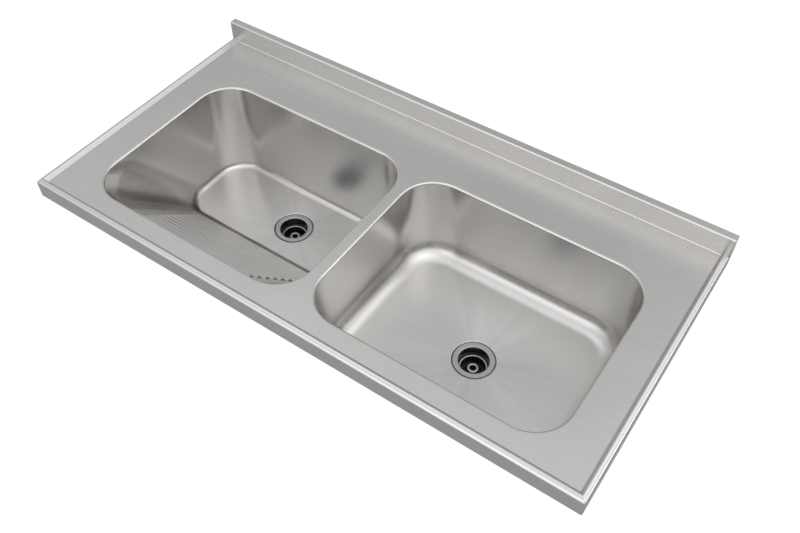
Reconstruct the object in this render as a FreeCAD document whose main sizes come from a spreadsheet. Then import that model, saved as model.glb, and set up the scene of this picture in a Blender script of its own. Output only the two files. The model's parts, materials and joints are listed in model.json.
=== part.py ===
# Laundry sink: a folded steel top that carries a washboard tub, a bowl and two basket drains.
# Millimetres. X runs along the sink, Y from front to back, Z up. The origin is the middle of the
# plane that the sink rests on, so the apron's foot is at zero and the bowls hang below it.
import FreeCAD, Part
import os
from types import SimpleNamespace

import Sketcher

DIMENSIONS = [
    ("sheet", 1.0, "thickness of the steel sheet"),
    ("top_length", 1200, "top, end to end"),
    ("top_depth", 600, "top, front to back"),
    ("apron_height", 42, "foot of the apron to the crest of the rim"),
    ("return_flange", 12, "apron's inward fold at the foot"),
    ("rim_crest", 10, "flat crest of the drip rim"),
    ("rim_slope", 6, "width of the rim's slope down to the deck"),
    ("rim_height", 7, "crest of the rim above the deck"),
    ("rim_bend", 8, "outer bend radius of the rim"),
    ("upstand_height", 40, "upstand above the crest of the rim"),
    ("upstand_thickness", 18, "upstand, front to back"),
    ("upstand_bend", 3, "outer bend radius along the upstand's top"),
    ("foot_bend", 5, "bend radius where the deck turns up"),
    ("opening_length", 500, "tub and bowl opening along the sink"),
    ("opening_width", 400, "tub and bowl opening, front to back"),
    ("opening_corner", 75, "corner radius of the openings"),
    ("front_land", 56, "front of the top to the openings"),
    ("divider", 28, "land between the two openings"),
    ("weld_flange", 8, "flange of a basin, let into the deck"),
    ("lip_bend", 4, "bend radius round an opening"),
    ("bowl_depth", 200, "deck to the bowl's floor"),
    ("bowl_draft", 8, "how far the bowl's walls lean in"),
    ("bowl_front_draft", 18, "how far the bowl's front wall leans in"),
    ("bowl_floor_corner", 92, "corner radius at the foot of the bowl's walls"),
    ("bowl_foot_radius", 38, "bend between the bowl's walls and floor"),
    ("tub_depth", 230, "deck to the tub's floor"),
    ("tub_draft", 8, "how far the tub's walls lean in"),
    ("tub_foot_radius", 14, "bend between the tub's walls and floor"),
    ("tub_floor_corner", 60, "corner radius of the tub's floor"),
    ("washboard_start", 24, "deck to the head of the washboard"),
    ("washboard_run", 207, "washboard, front to back"),
    ("washboard_corner", 115, "corner radius at the head of the washboard"),
    ("band_draft", 1, "lean of the band above the washboard"),
    ("ridge_count", 12, "number of ridges on the washboard"),
    ("ridge_pitch", 22, "ridge to ridge down the washboard"),
    ("ridge_first", 14, "head of the washboard to the first ridge"),
    ("ridge_radius", 13, "ridge, radius of its round"),
    ("ridge_height", 4, "ridge above the washboard"),
    ("ridge_head_length", 266, "length of a ridge at the washboard's head"),
    ("ridge_foot_length", 362, "length of a ridge at the washboard's foot"),
    ("tub_drain_setback", 108, "back of the opening to the tub's drain"),
    ("bowl_drain_setback", 204, "back of the opening to the bowl's drain"),
    ("drain_offset", 7, "drains to the right of the middle of their basins"),
    ("dish_depth", 4, "recess that the drain flange lies in"),
    ("dish_radius", 42, "recess, radius of its flat seat"),
    ("dish_spread", 4, "recess, run of its sloping side"),
    ("drain_hole", 35, "radius of the hole in a basin"),
    ("gasket_thickness", 1.5, "gasket above the basin"),
    ("gasket_radius", 39.5, "outer radius of the gaskets"),
    ("gasket_clearance", 0.5, "gasket to the cup's wall or hole"),
    ("under_gasket_thickness", 2.5, "gasket under the basin"),
    ("cup_flange_thickness", 2, "cup, thickness of its flange"),
    ("cup_flange_radius", 40, "cup, radius of its flange"),
    ("cup_radius", 34, "cup, outer radius of its threaded neck"),
    ("cup_mouth", 31.5, "cup, radius of its mouth"),
    ("cup_wall", 3, "cup, wall below the ledge"),
    ("ledge_depth", 20, "seat to the ledge that carries the basket"),
    ("ledge_outer", 29.5, "ledge, outer radius"),
    ("sump_radius", 26, "cup, inner radius below the ledge"),
    ("funnel_depth", 47, "seat to the head of the funnel"),
    ("funnel_height", 10.4, "height of the funnel"),
    ("spigot_bore", 19.5, "outlet, inner radius"),
    ("spigot_radius", 23.9, "outlet, outer radius, for an inch and a half fitting"),
    ("spigot_length", 38, "outlet below the funnel"),
    ("ring_thickness", 0.8, "steel ring over the cup's flange"),
    ("ring_skirt", 1, "steel ring, thickness of its skirt"),
    ("ring_collar", 3, "steel ring, depth of its collar inside the cup's mouth"),
    ("ring_clearance", 0.2, "steel ring to the cup's flange"),
    ("nut_radius", 43, "lock nut, radius of its body"),
    ("nut_height", 14, "lock nut, height"),
    ("nut_lug", 5, "lock nut, reach of its lugs"),
    ("nut_lug_width", 9, "lock nut, width of a lug"),
    ("nut_lug_count", 8, "lock nut, number of lugs"),
    ("thread_clearance", 0.1, "lock nut to the cup's neck"),
    ("seat_gap", 0.3, "rest gap between pieces that lift apart"),
    ("basket_rim_radius", 29, "basket, radius of its rim"),
    ("basket_rim_thickness", 1.5, "basket, thickness of its rim"),
    ("basket_radius", 25, "basket, outer radius of its cup"),
    ("basket_wall", 1.2, "basket, wall"),
    ("basket_height", 21, "basket, ledge to its underside"),
    ("basket_collar_height", 8, "basket, height of its collar"),
    ("basket_collar_wall", 2, "basket, wall of its collar"),
    ("basket_slot_width", 3, "basket, width of a slot"),
    ("basket_slot_height", 11, "basket, height of a slot"),
    ("basket_slot_lift", 3, "basket, underside to a slot"),
    ("basket_slot_count", 12, "basket, number of slots and of holes"),
    ("basket_hole_radius", 2.2, "basket, radius of a hole in its floor"),
    ("basket_hole_circle", 18, "basket, radius of the ring of holes"),
    ("stem_radius", 10, "stopper stem, outer radius"),
    ("stem_bore", 4.5, "stopper stem, radius of its finger hole"),
    ("stem_bore_depth", 16, "stopper stem, depth of its finger hole"),
    ("stem_running_gap", 0.05, "stopper stem to the basket's collar"),
    ("stem_rise", 19, "stopper stem, its top above the basket's underside"),
    ("stopper_travel", 8, "lift of the stopper"),
    ("stopper_spare", 1, "room left above the lifted stopper"),
    ("plate_radius", 16, "stopper plate, radius"),
    ("plate_thickness", 2, "stopper plate, thickness"),
    ("seal_thickness", 4, "stopper seal, thickness"),
    ("hub_radius", 8, "stopper stem inside the seal, radius"),
    ("button_radius", 12, "stopper foot below the seal, radius"),
    ("button_thickness", 2, "stopper foot below the seal, thickness"),
    ("rail_width", 30, "stiffening rail, width"),
    ("rail_sheet", 1.2, "stiffening rail, sheet thickness"),
    ("rail_setback", 14, "stiffening rail to the edge of the top"),
    ("rear_rail_setback", 90, "rear rail to the back of the top"),
    ("centre_rail_width", 18, "tube between the basins, width"),
    ("hold_down_radius", 3, "hold-down holes in the end rails, radius"),
    ("hold_down_spacing", 440, "hold-down holes, front to back"),
    ("pad_length", 110, "damping pad, along the sink"),
    ("pad_width", 120, "damping pad, front to back"),
    ("pad_thickness", 2.5, "damping pad, thickness"),
    ("pad_start", 75, "drain's centre to a damping pad"),
]


# Two faces or edges this close, in millimetres, lie at the same place
NEAR = 0.01


# Sizes and expressions
class Size:
    """A length with its value and with the expression that ties it to the spreadsheet."""

    def __init__(self, value, text):
        self.value = value
        self.text = text

    def __add__(self, other):
        other = as_size(other)
        return Size(self.value + other.value, f"({self.text} + {other.text})")

    def __sub__(self, other):
        other = as_size(other)
        return Size(self.value - other.value, f"({self.text} - {other.text})")

    def __mul__(self, other):
        other = as_size(other)
        return Size(self.value * other.value, f"({self.text} * {other.text})")

    def __truediv__(self, other):
        other = as_size(other)
        return Size(self.value / other.value, f"({self.text} / {other.text})")

    def __neg__(self):
        return Size(-self.value, f"(0 - {self.text})")

    def root(self):
        return Size(self.value ** 0.5, f"sqrt({self.text})")


def as_size(thing):
    if isinstance(thing, Size):
        return thing
    return Size(thing, str(thing))


doc = FreeCAD.newDocument("LaundrySink")
sheet = doc.addObject("Spreadsheet::Sheet", "Dimensions")
for row, (alias, value, meaning) in enumerate(DIMENSIONS, start=1):
    sheet.set(f"A{row}", alias)
    sheet.set(f"B{row}", str(value))
    sheet.setAlias(f"B{row}", alias)
    sheet.set(f"C{row}", meaning)
doc.recompute()
d = SimpleNamespace(**{alias: Size(value, f"Dimensions.{alias}") for alias, value, meaning in DIMENSIONS})


def bind(item, name, size):
    item.setExpression(name, as_size(size).text)


def place(item, x, y, z):
    for axis, size in (("x", x), ("y", y), ("z", z)):
        bind(item, f"Placement.Base.{axis}", size)


# Sketches
def new_body(name):
    return doc.addObject("PartDesign::Body", name)


def origin_feature(body, role):
    return next(item for item in body.Origin.OriginFeatures if item.Role == role)


def new_sketch(body, name, plane, lift=0):
    sketch = body.newObject("Sketcher::SketchObject", name)
    sketch.AttachmentSupport = [(origin_feature(body, plane), "")]
    sketch.MapMode = "FlatFace"
    bind(sketch, "AttachmentOffset.Base.z", lift)
    return sketch


def pin_point(sketch, line, end, x, y):
    for kind, size in (("DistanceX", x), ("DistanceY", y)):
        number = sketch.addConstraint(Sketcher.Constraint(kind, line, end, size.value))
        sketch.setExpression(f"Constraints[{number}]", size.text)


def pin_radius(sketch, curve, radius):
    number = sketch.addConstraint(Sketcher.Constraint("Radius", curve, radius.value))
    sketch.setExpression(f"Constraints[{number}]", radius.text)


def vector(x, y):
    return FreeCAD.Vector(x.value, y.value, 0)


def polygon(sketch, points):
    """Closed outline of straight lines, with every corner tied to the spreadsheet."""
    points = [(as_size(x), as_size(y)) for x, y in points]
    first = sketch.GeometryCount
    count = len(points)
    for number, point in enumerate(points):
        following = points[(number + 1) % count]
        sketch.addGeometry(Part.LineSegment(vector(*point), vector(*following)), False)
    for number, point in enumerate(points):
        following = first + (number + 1) % count
        sketch.addConstraint(Sketcher.Constraint("Coincident", first + number, 2, following, 1))
        pin_point(sketch, first + number, 1, *point)


def rectangle(sketch, left, right, low, high):
    polygon(sketch, [(left, low), (right, low), (right, high), (left, high)])


class Outline:
    """Rectangle with round corners, drawn counter-clockwise from its right front corner."""

    def __init__(self, left, right, front, back, front_radius, back_radius):
        self.left = left
        self.right = right
        self.front = front
        self.back = back
        self.front_radius = front_radius
        self.back_radius = back_radius

    def grown(self, amount):
        return Outline(
            self.left - amount,
            self.right + amount,
            self.front - amount,
            self.back + amount,
            self.front_radius + amount,
            self.back_radius + amount,
        )

    def corner(self, x, y, inward_x, inward_y, radius):
        """Start, middle and end of a corner arc, with its radius."""
        centre_x = x + radius * inward_x
        centre_y = y + radius * inward_y
        diagonal = radius.value * 0.5 ** 0.5
        middle = FreeCAD.Vector(centre_x.value - inward_x * diagonal, centre_y.value - inward_y * diagonal, 0)
        ends = [(centre_x, y), (x, centre_y)]
        if inward_x * inward_y > 0:
            ends.reverse()
        return ends[0], middle, ends[1], radius

    def draw(self, sketch):
        first = sketch.GeometryCount
        arcs = [
            self.corner(self.right, self.front, -1, 1, self.front_radius),
            self.corner(self.right, self.back, -1, -1, self.back_radius),
            self.corner(self.left, self.back, 1, -1, self.back_radius),
            self.corner(self.left, self.front, 1, 1, self.front_radius),
        ]
        starts = [arc[0] for arc in arcs]
        following = starts[1:] + starts[:1]
        for (start, middle, end, radius), next_start in zip(arcs, following):
            sketch.addGeometry(Part.Arc(vector(*start), middle, vector(*end)), False)
            sketch.addGeometry(Part.LineSegment(vector(*end), vector(*next_start)), False)
        for number, (start, middle, end, radius) in enumerate(arcs):
            arc = first + 2 * number
            line = arc + 1
            next_arc = first + (2 * number + 2) % 8
            pin_point(sketch, line, 1, *end)
            pin_point(sketch, line, 2, *following[number])
            sketch.addConstraint(Sketcher.Constraint("Coincident", arc, 2, line, 1))
            sketch.addConstraint(Sketcher.Constraint("Coincident", line, 2, next_arc, 1))
            pin_radius(sketch, arc, radius)

    def holds(self, edge):
        box = edge.BoundBox
        across = self.left.value - NEAR < box.XMin and box.XMax < self.right.value + NEAR
        return across and self.front.value - NEAR < box.YMin and box.YMax < self.back.value + NEAR


def circle(sketch, x, y, radius):
    x, y, radius = as_size(x), as_size(y), as_size(radius)
    ring = Part.Circle(vector(x, y), FreeCAD.Vector(0, 0, 1), radius.value)
    number = sketch.addGeometry(ring, False)
    pin_point(sketch, number, 3, x, y)
    pin_radius(sketch, number, radius)


# Features
def pad(body, name, sketch, length, midplane=False, backwards=False):
    feature = body.newObject("PartDesign::Pad", name)
    feature.Profile = sketch
    bind(feature, "Length", length)
    feature.Midplane = midplane
    feature.Reversed = backwards
    return feature


def pocket(body, name, sketch, depth, midplane=False, backwards=False):
    feature = body.newObject("PartDesign::Pocket", name)
    feature.Profile = sketch
    bind(feature, "Length", depth)
    feature.Midplane = midplane
    feature.Reversed = backwards
    return feature


def loft(body, name, sketches):
    feature = body.newObject("PartDesign::AdditiveLoft", name)
    feature.Profile = sketches[0]
    feature.Sections = sketches[1:]
    feature.Ruled = True
    return feature


def edges_where(feature, test):
    doc.recompute()
    edges = enumerate(feature.Shape.Edges, start=1)
    return [f"Edge{number}" for number, edge in edges if test(edge)]


def faces_where(feature, test):
    doc.recompute()
    faces = enumerate(feature.Shape.Faces, start=1)
    return [f"Face{number}" for number, face in faces if test(face)]


def fillet(body, name, base, test, radius):
    feature = body.newObject("PartDesign::Fillet", name)
    feature.Base = (base, edges_where(base, test))
    bind(feature, "Radius", radius)
    return feature


def revolve(body, name, points):
    """Solid of revolution about the body's own upright axis, from (radius, height) points."""
    sketch = new_sketch(body, f"{name}_profile", "XZ_Plane")
    polygon(sketch, points)
    feature = body.newObject("PartDesign::Revolution", name)
    feature.Profile = sketch
    feature.ReferenceAxis = (sketch, ["V_Axis"])
    feature.Angle = 360
    return feature


def around(body, name, feature, count):
    """Repeats a feature round the body's own upright axis."""
    pattern = body.newObject("PartDesign::PolarPattern", name)
    pattern.Originals = [feature]
    pattern.Axis = (origin_feature(body, "Z_Axis"), [""])
    pattern.Angle = 360
    bind(pattern, "Occurrences", count)
    body.Tip = pattern
    return pattern


def combine(kind, name, **links):
    item = doc.addObject(f"Part::{kind}", name)
    for link, target in links.items():
        setattr(item, link, target)
    return item


def at_height(edge, height):
    return all(abs(vertex.Z - height.value) < NEAR for vertex in edge.Vertexes)


def at_depth(edge, depth):
    return all(abs(vertex.Y - depth.value) < NEAR for vertex in edge.Vertexes)


# Levels and lines that several pieces share
half_length = d.top_length / 2
half_depth = d.top_depth / 2
crest = d.apron_height
deck = d.apron_height - d.rim_height
under_deck = deck - d.sheet
upstand_top = d.apron_height + d.upstand_height
upstand_front = half_depth - d.upstand_thickness
cap_top = upstand_top - d.upstand_bend
opening_front = d.front_land - half_depth
opening_back = opening_front + d.opening_width
inner = d.divider / 2
outer = inner + d.opening_length
opening_centre = inner + d.opening_length / 2
tub_opening = Outline(-outer, -inner, opening_front, opening_back, d.opening_corner, d.opening_corner)
bowl_opening = Outline(inner, outer, opening_front, opening_back, d.opening_corner, d.opening_corner)
tub_floor = deck - d.tub_depth
bowl_floor = deck - d.bowl_depth
tub_drain = (d.drain_offset - opening_centre, opening_back - d.tub_drain_setback, tub_floor - d.dish_depth)
bowl_drain = (d.drain_offset + opening_centre, opening_back - d.bowl_drain_setback, bowl_floor - d.dish_depth)

nodes = []


def node(item, label):
    item.Label = label
    nodes.append(item)
    return item


# Worktop: one folded sheet with a drip rim on three sides and an upstand at the back
def top_form(name, inset, foot):
    """The top as a solid block, shrunk by inset on every face, standing on the height foot."""
    body = new_body(name)
    end = half_length - inset
    back = half_depth - inset
    floor = deck - inset
    slope_length = (d.rim_slope * d.rim_slope + d.rim_height * d.rim_height).root()
    slope_shift = inset * (slope_length - d.rim_slope) / d.rim_height
    rim_foot = d.rim_crest + d.rim_slope - slope_shift
    riser_front = upstand_front + inset

    def is_recess_wall(face):
        box = face.BoundBox
        on_outside = box.XLength < NEAR and abs(abs(box.XMin) - end.value) < NEAR
        on_outside = on_outside or box.YLength < NEAR and abs(abs(box.YMin) - back.value) < NEAR
        return box.ZLength > NEAR and box.ZMin > floor.value - NEAR and not on_outside

    def is_deck(face):
        return face.BoundBox.ZLength < NEAR and abs(face.BoundBox.ZMin - floor.value) < NEAR

    def is_rim_edge(edge):
        on_end = all(abs(abs(vertex.X) - end.value) < NEAR for vertex in edge.Vertexes)
        return at_height(edge, crest - inset) and (on_end or at_depth(edge, -back))

    def is_riser_edge(edge):
        along = edge.BoundBox.XLength > end.value
        return along and at_height(edge, upstand_top - inset)

    def is_foot_edge(edge):
        return at_height(edge, floor) and at_depth(edge, riser_front)

    outline = new_sketch(body, f"{name}_outline", "XY_Plane", foot)
    rectangle(outline, -end, end, -back, back)
    pad(body, f"{name}_block", outline, crest - inset - foot)

    recess = new_sketch(body, f"{name}_recess_outline", "XY_Plane", crest - inset)
    rim_inside = half_length - rim_foot
    rectangle(recess, -rim_inside, rim_inside, rim_foot - half_depth, half_depth + d.sheet)
    recess_cut = pocket(body, f"{name}_recess", recess, d.rim_height)
    doc.recompute()

    slopes = body.newObject("PartDesign::Draft", f"{name}_rim_slopes")
    slopes.Base = (recess_cut, faces_where(recess_cut, is_recess_wall))
    slopes.NeutralPlane = (recess_cut, faces_where(recess_cut, is_deck))
    slopes.setExpression("Angle", f"atan({d.rim_slope.text} / {d.rim_height.text})")

    riser = new_sketch(body, f"{name}_upstand_outline", "XY_Plane", floor)
    rectangle(riser, -end, end, riser_front, back)
    upstand = pad(body, f"{name}_upstand", riser, d.rim_height + d.upstand_height)
    rim = fillet(body, f"{name}_rim_bends", upstand, is_rim_edge, d.rim_bend - inset)
    bends = fillet(body, f"{name}_upstand_bends", rim, is_riser_edge, d.upstand_bend - inset)
    fillet(body, f"{name}_foot_bend", bends, is_foot_edge, d.foot_bend + inset)
    return body


def worktop_sheet():
    outside = top_form("top_outside", as_size(0), as_size(0))
    inside = top_form("top_inside", d.sheet, d.sheet)

    hem = new_sketch(inside, "hem_outline", "XY_Plane", -d.sheet)
    hem_x = half_length - d.return_flange
    hem_y = half_depth - d.return_flange
    rectangle(hem, -hem_x, hem_x, -hem_y, hem_y)
    pad(inside, "hem_opening", hem, d.sheet * 3)

    cutout = new_sketch(inside, "cutout_outline", "XY_Plane", under_deck - d.sheet)
    for opening in (tub_opening, bowl_opening):
        opening.grown(d.weld_flange).draw(cutout)
    pad(inside, "basin_cutouts", cutout, d.sheet * 3)

    ends = new_sketch(inside, "upstand_end_outline", "YZ_Plane")
    rectangle(ends, upstand_front + d.sheet, half_depth - d.sheet, crest, cap_top)
    pad(inside, "upstand_open_ends", ends, d.top_length + d.sheet * 2, midplane=True)
    return node(combine("Cut", "worktop_sheet", Base=outside, Tool=inside), "worktop_sheet")


def upstand_end_cap(label, left):
    cap = doc.addObject("Part::Box", label)
    bind(cap, "Length", d.sheet)
    bind(cap, "Width", d.upstand_thickness - d.sheet * 2)
    bind(cap, "Height", cap_top - crest)
    place(cap, left, upstand_front + d.sheet, crest)
    return node(cap, label)


# Basins: pressed shells, made as an outer form less the hollow inside it
def basin_form(name, plate, plate_foot, plate_thickness, levels, lip_radius, foot_radius):
    """Flat plate with a loft through the levels below it, round at the lip and at the foot."""
    body = new_body(name)
    lip = levels[0][1]
    foot_height = levels[-1][0]

    def is_lip(edge):
        return at_height(edge, plate_foot) and lip.grown(d.weld_flange / 2).holds(edge)

    def is_foot(edge):
        return at_height(edge, foot_height)

    flange = new_sketch(body, f"{name}_plate_outline", "XY_Plane", plate_foot)
    plate.draw(flange)
    pad(body, f"{name}_plate", flange, plate_thickness)
    sections = []
    for number, (height, outline) in enumerate(levels):
        section = new_sketch(body, f"{name}_level_{number}", "XY_Plane", height)
        outline.draw(section)
        sections.append(section)
    walls = loft(body, f"{name}_walls", sections)
    lip_round = fillet(body, f"{name}_lip", walls, is_lip, lip_radius)
    fillet(body, f"{name}_foot", lip_round, is_foot, foot_radius)
    return body


def cone(name, drain, foot, foot_radius, head_radius, height):
    item = doc.addObject("Part::Cone", name)
    bind(item, "Radius1", foot_radius)
    bind(item, "Radius2", head_radius)
    bind(item, "Height", height)
    place(item, drain[0], drain[1], foot)
    return item


def basin(label, opening, inner_levels, outer_levels, foot_radius, drain, washboard=None):
    shell = basin_form(
        f"{label}_outside",
        opening.grown(d.weld_flange),
        under_deck,
        d.sheet,
        outer_levels,
        d.lip_bend - d.sheet,
        foot_radius + d.sheet,
    )
    hollow = basin_form(
        f"{label}_hollow",
        opening.grown(d.weld_flange * 2),
        deck,
        d.weld_flange,
        inner_levels,
        d.lip_bend,
        foot_radius,
    )
    if washboard:
        grooves, ridges = washboard
        shell = combine("Cut", f"{label}_grooved", Base=shell, Tool=grooves)
        hollow = combine("Cut", f"{label}_ridged", Base=hollow, Tool=ridges)
    seat = drain[2]
    under_seat = cone(
        f"{label}_dish_outside",
        drain,
        seat - d.sheet,
        d.dish_radius + d.sheet,
        d.dish_radius + d.dish_spread + d.sheet,
        d.dish_depth,
    )
    dish = cone(f"{label}_dish", drain, seat, d.dish_radius, d.dish_radius + d.dish_spread, d.dish_depth)
    hole = doc.addObject("Part::Cylinder", f"{label}_drain_hole")
    bind(hole, "Radius", d.drain_hole)
    bind(hole, "Height", d.sheet * 3)
    place(hole, drain[0], drain[1], seat - d.sheet * 2)
    dished_shell = combine("MultiFuse", f"{label}_dished_shell", Shapes=[shell, under_seat])
    dished_hollow = combine("MultiFuse", f"{label}_dished_hollow", Shapes=[hollow, dish, hole])
    return node(combine("Cut", label, Base=dished_shell, Tool=dished_hollow), label)


def sink_bowl():
    floor_line = bowl_opening.grown(-d.bowl_draft)
    floor_line.front = opening_front + d.bowl_front_draft
    floor_line.front_radius = d.bowl_floor_corner
    floor_line.back_radius = d.bowl_floor_corner
    inner_levels = [(deck, bowl_opening), (bowl_floor, floor_line)]
    outer_levels = [
        (under_deck, bowl_opening.grown(d.sheet)),
        (bowl_floor - d.sheet, floor_line.grown(d.sheet)),
    ]
    return basin("sink_bowl", bowl_opening, inner_levels, outer_levels, d.bowl_foot_radius, bowl_drain)


# Washboard: the tub's front wall, sloping from its head under the lip to its foot on the floor
washboard_head = deck - d.washboard_start
washboard_front = opening_front + d.band_draft
washboard_drop = d.tub_depth - d.washboard_start
washboard_length = (d.washboard_run * d.washboard_run + washboard_drop * washboard_drop).root()


def washboard_rounds(name, radius, shorter):
    """Round bars along the ridges, sunk in the slope so that the ridges stand out of it."""
    sunk = d.ridge_radius - d.ridge_height
    bars = []
    for number in range(int(d.ridge_count.value)):
        down = d.ridge_first + d.ridge_pitch * number
        growth = (d.ridge_foot_length - d.ridge_head_length) * down / washboard_length
        length = d.ridge_head_length + growth - shorter * 2
        depth = (d.washboard_run * down - washboard_drop * sunk) / washboard_length
        fall = (washboard_drop * down + d.washboard_run * sunk) / washboard_length
        bar = doc.addObject("Part::Cylinder", f"{name}_{number}")
        bar.Placement.Rotation = FreeCAD.Rotation(FreeCAD.Vector(0, 1, 0), 90)
        bind(bar, "Radius", radius)
        bind(bar, "Height", length)
        place(bar, -opening_centre - length / 2, washboard_front + depth, washboard_head - fall)
        bars.append(bar)
    return combine("Compound", name, Links=bars)


def laundry_tub():
    head = tub_opening.grown(-d.band_draft)
    head.front_radius = d.washboard_corner
    foot = tub_opening.grown(-d.tub_draft)
    foot.front = washboard_front + d.washboard_run
    foot.front_radius = d.tub_floor_corner
    foot.back_radius = d.tub_floor_corner
    inner_levels = [(deck, tub_opening), (washboard_head, head), (tub_floor, foot)]

    head_fall = d.sheet * (washboard_length - washboard_drop) / d.washboard_run
    foot_shift = d.sheet * (washboard_length - d.washboard_run) / washboard_drop
    outer_foot = foot.grown(d.sheet)
    outer_foot.front = foot.front - foot_shift
    outer_levels = [
        (under_deck, tub_opening.grown(d.sheet)),
        (washboard_head - head_fall, head.grown(d.sheet)),
        (tub_floor - d.sheet, outer_foot),
    ]
    grooves = washboard_rounds("washboard_grooves", d.ridge_radius - d.sheet, d.sheet)
    ridges = washboard_rounds("washboard_ridges", d.ridge_radius, as_size(0))
    return basin(
        "laundry_tub", tub_opening, inner_levels, outer_levels, d.tub_foot_radius, tub_drain, (grooves, ridges)
    )


# Rails: galvanised channels under the deck, and a tube between the basins
def channel(web, lip):
    """Section of a channel with its back at web and its open side at lip, as tall as the deck is high."""
    inside = web + d.rail_sheet if web.value < lip.value else web - d.rail_sheet
    roof = under_deck - d.rail_sheet
    return [
        (web, 0),
        (lip, 0),
        (lip, d.rail_sheet),
        (inside, d.rail_sheet),
        (inside, roof),
        (lip, roof),
        (lip, under_deck),
        (web, under_deck),
    ]


def cross_rail(label, web, lip):
    """Rail along the sink, between the two end rails."""
    body = new_body(label)
    section = new_sketch(body, f"{label}_section", "YZ_Plane")
    polygon(section, channel(web, lip))
    end = half_length - d.rail_setback - d.rail_width
    pad(body, f"{label}_length", section, end * 2, midplane=True)
    return node(body, label)


def end_rail(label, web, lip):
    """Rail from front to back, with two hold-down holes in its lower flange."""
    body = new_body(label)
    section = new_sketch(body, f"{label}_section", "XZ_Plane")
    polygon(section, channel(web, lip))
    pad(body, f"{label}_length", section, d.top_depth - d.rail_setback * 2, midplane=True)
    holes = new_sketch(body, f"{label}_hole_places", "XY_Plane")
    for y in (-d.hold_down_spacing / 2, d.hold_down_spacing / 2):
        circle(holes, (web + lip) / 2, y, d.hold_down_radius)
    pocket(body, f"{label}_holes", holes, d.rail_sheet * 2, backwards=True)
    return node(body, label)


def centre_rail():
    """Tube from the front rail to the rear rail."""
    body = new_body("centre_rail")
    section = new_sketch(body, "centre_rail_section", "XZ_Plane", -rear_rail_front)
    side = d.centre_rail_width / 2
    rectangle(section, -side, side, 0, under_deck)
    wall = d.rail_sheet
    rectangle(section, wall - side, side - wall, wall, under_deck - wall)
    pad(body, "centre_rail_length", section, rear_rail_front - front_rail_back)
    return node(body, "centre_rail")


front_rail_front = d.rail_setback - half_depth
front_rail_back = front_rail_front + d.rail_width
rear_rail_back = half_depth - d.rear_rail_setback
rear_rail_front = rear_rail_back - d.rail_width
end_rail_outside = half_length - d.rail_setback
end_rail_inside = end_rail_outside - d.rail_width


def damping_pads(label, drain, floor):
    """Two pads stuck under a basin's floor, one each side of the drain."""
    pads = []
    for side, start in (("left", -d.pad_start - d.pad_length), ("right", d.pad_start)):
        item = doc.addObject("Part::Box", f"{label}_{side}")
        bind(item, "Length", d.pad_length)
        bind(item, "Width", d.pad_width)
        bind(item, "Height", d.pad_thickness)
        place(item, drain[0] + start, drain[1] - d.pad_width / 2, floor - d.sheet - d.pad_thickness)
        pads.append(item)
    return node(combine("Compound", label, Links=pads), label)


# Drains: heights are measured from the dish's flat seat, radii from the drain's own axis
flange_foot = d.gasket_thickness
flange_head = flange_foot + d.cup_flange_thickness
nut_head = -d.sheet - d.under_gasket_thickness
funnel_foot = -d.funnel_depth - d.funnel_height
spigot_foot = funnel_foot - d.spigot_length
basket_foot = -d.ledge_depth - d.basket_height
plate_head = basket_foot - d.stopper_travel - d.stopper_spare
seal_head = plate_head - d.plate_thickness
seal_foot = seal_head - d.seal_thickness


def washer(body, name, bore, radius, low, high):
    return revolve(body, name, [(bore, low), (radius, low), (radius, high), (bore, high)])


def drain_piece(label, drain):
    body = new_body(label)
    place(body, *drain)
    return node(body, label)


def drain_flange_ring(label, drain):
    body = drain_piece(label, drain)
    skirt_inside = d.cup_flange_radius + d.ring_clearance
    skirt_outside = skirt_inside + d.ring_skirt
    ring_head = flange_head + d.ring_thickness
    collar_outside = d.cup_mouth - d.ring_clearance * 2
    collar_inside = collar_outside - d.ring_thickness
    collar_foot = flange_head - d.ring_collar
    revolve(body, f"{label}_turn", [
        (collar_inside, collar_foot),
        (collar_outside, collar_foot),
        (collar_outside, flange_head),
        (skirt_inside, flange_head),
        (skirt_inside, 0),
        (skirt_outside, 0),
        (skirt_outside, ring_head),
        (collar_inside, ring_head),
    ])


def drain_top_gasket(label, drain):
    body = drain_piece(label, drain)
    washer(body, f"{label}_turn", d.drain_hole + d.gasket_clearance, d.gasket_radius, 0, d.gasket_thickness)


def drain_cup(label, drain):
    body = drain_piece(label, drain)
    shoulder = -d.ledge_depth - d.cup_wall
    revolve(body, f"{label}_turn", [
        (d.cup_mouth, flange_head),
        (d.cup_flange_radius, flange_head),
        (d.cup_flange_radius, flange_foot),
        (d.cup_radius, flange_foot),
        (d.cup_radius, shoulder),
        (d.sump_radius + d.cup_wall, shoulder - d.cup_wall),
        (d.sump_radius + d.cup_wall, -d.funnel_depth),
        (d.spigot_radius, funnel_foot),
        (d.spigot_radius, spigot_foot),
        (d.spigot_bore, spigot_foot),
        (d.spigot_bore, funnel_foot),
        (d.sump_radius, -d.funnel_depth),
        (d.sump_radius, -d.ledge_depth),
        (d.ledge_outer, -d.ledge_depth),
    ])


def drain_under_gasket(label, drain):
    body = drain_piece(label, drain)
    washer(body, f"{label}_turn", d.cup_radius + d.gasket_clearance, d.gasket_radius, nut_head, -d.sheet)


def drain_lock_nut(label, drain):
    body = drain_piece(label, drain)
    nut_foot = nut_head - d.nut_height
    washer(body, f"{label}_turn", d.cup_radius + d.thread_clearance, d.nut_radius, nut_foot, nut_head)
    lug_outline = new_sketch(body, f"{label}_lug_outline", "XY_Plane", nut_foot)
    lug_side = d.nut_lug_width / 2
    rectangle(lug_outline, d.nut_radius - d.nut_lug / 2, d.nut_radius + d.nut_lug, -lug_side, lug_side)
    lug = pad(body, f"{label}_lug", lug_outline, d.nut_height)
    around(body, f"{label}_lugs", lug, d.nut_lug_count)


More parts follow.
